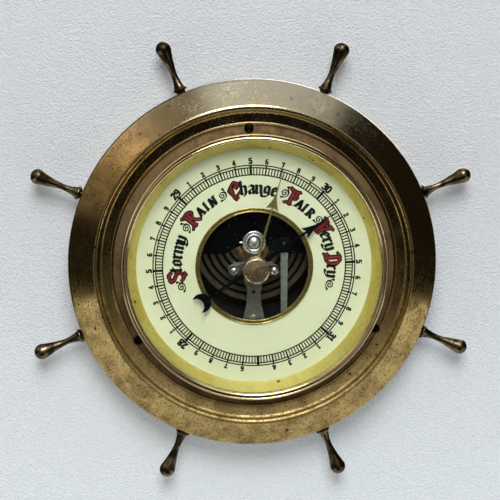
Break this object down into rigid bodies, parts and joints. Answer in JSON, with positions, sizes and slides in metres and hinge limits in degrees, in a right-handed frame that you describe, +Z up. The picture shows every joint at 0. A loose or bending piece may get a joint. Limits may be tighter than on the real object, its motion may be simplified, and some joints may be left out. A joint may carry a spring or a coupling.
{
  "type": "aneroid wall barometer",
  "caption": "Brass ship's wheel aneroid wall barometer with turned handles, printed dial, open movement, indicating hand and set hand.",
  "frame": {"origin": "Centre of the wheel and of the hands' axis, on the flat back of the case that lies against the wall.", "axes": "X points to the viewer's right, towards three o'clock on the dial. Y points into the wall. Z points up, towards twelve o'clock."},
  "size_m": [0.1974, 0.0333, 0.1974],
  "materials": {
    "spun_brass": "spun sheet brass, aged and worn, satin",
    "turned_dark_brass": "turned brass with a dark patina, worn bright on the high spots",
    "case_brass": "drawn brass case, dull and tarnished",
    "bezel_brass": "turned and polished pale brass",
    "reflector_brass": "spun brass cone, yellow and bright",
    "crystal": "flat clear glass",
    "dial_enamel": "printed cream dial card, satin",
    "trim_brass": "turned brass ring, dull gold",
    "movement_plate": "black japanned steel plate",
    "capsule_metal": "pressed corrugated capsule metal, brownish, satin",
    "copper_cup": "copper cup soldered to the diaphragm",
    "bright_steel": "turned and brushed bright steel",
    "grey_steel": "rolled grey steel, slightly oxidised",
    "dark_steel": "dark oxidised steel strap",
    "spring_steel": "hardened and blackened spring steel",
    "blackened_screw": "blackened steel screw",
    "hair_steel": "blued hairspring and chain wire",
    "blued_hand": "blued steel hand",
    "set_brass": "lacquered brass hand and knob, dull gold"
  },
  "bodies": {
    "case": {"wheel_rim": "spun_brass", "handle_1": "turned_dark_brass", "handle_2": "turned_dark_brass", "handle_3": "turned_dark_brass", "handle_4": "turned_dark_brass", "handle_5": "turned_dark_brass", "handle_6": "turned_dark_brass", "handle_7": "turned_dark_brass", "handle_8": "turned_dark_brass", "handle_nuts": "set_brass", "movement_case": "case_brass", "case_screws": "blackened_screw", "case_nuts": "set_brass", "hanging_bracket": "case_brass", "bracket_rivets": "case_brass", "bezel": "bezel_brass", "glass": "crystal", "reflector_ring": "reflector_brass", "dial": "dial_enamel", "hole_trim_ring": "trim_brass", "dial_pillars": "set_brass", "base_plate": "movement_plate", "base_screws": "bright_steel", "capsule_rear": "capsule_metal", "capsule_diaphragm": "capsule_metal", "spring_bridge": "movement_plate", "spring_clamp": "movement_plate", "clamp_screws": "bright_steel", "shaft_bearings": "grey_steel", "bearing_screws": "bright_steel", "chain": "hair_steel", "hairspring": "hair_steel", "hairspring_stud": "bright_steel", "arbor_rear_bar": "grey_steel", "arbor_strap": "dark_steel", "strap_post": "bright_steel", "strap_screw": "dark_steel", "wing_plate": "bright_steel", "wing_pillars": "bright_steel", "wing_screws": "bright_steel"},
    "hand": {"arbor": "bright_steel", "hand_hub": "blued_hand", "indicating_hand": "blued_hand"},
    "spring": {"main_spring": "spring_steel", "capsule_post": "bright_steel", "capsule_cup": "copper_cup", "boss_nut": "bright_steel", "boss_pin": "bright_steel", "lever_foot": "dark_steel", "lever_foot_screw": "dark_steel", "lever_arm": "grey_steel", "lever_link": "bright_steel"},
    "rocker": {"rocking_shaft": "bright_steel"},
    "set": {"set_hand": "set_brass", "set_shaft": "set_brass", "set_hand_nut": "set_brass", "friction_washer": "set_brass", "set_knob": "set_brass"},
    "adjuster": {"adjusting_screw": "bright_steel"}
  },
  "joints": [
    {"name": "hand_turn", "type": "hinge", "parent": "case", "child": "hand", "pos_m": [0, 0, 0], "axis": [0, 1, 0], "range_deg": [-225, 115], "stiffness_Nm_per_rad": 0.0005, "deforming": ["hairspring"]},
    {"name": "spring_bend", "type": "hinge", "parent": "case", "child": "spring", "pos_m": [0, -0.0129, 0.041], "axis": [1, 0, 0], "range_deg": [-0.89, 0.45], "deforming": ["capsule_diaphragm"]},
    {"name": "rocker_turn", "type": "hinge", "parent": "case", "child": "rocker", "pos_m": [0, -0.0052, -0.031], "axis": [1, 0, 0], "range_deg": [-13.18, 25.8], "deforming": ["chain"]},
    {"name": "set_turn", "type": "hinge", "parent": "case", "child": "set", "pos_m": [0, 0, 0], "axis": [0, 1, 0], "continuous": true},
    {"name": "adjuster_turn", "type": "hinge", "parent": "case", "child": "adjuster", "pos_m": [0, 0, 0.0103], "axis": [0, 1, 0], "continuous": true}
  ],
  "couplings": [
    {"joint": "spring_bend", "follows": "hand_turn", "ratio": 0.0038757},
    {"joint": "rocker_turn", "follows": "hand_turn", "ratio": -0.1124}
  ]
}
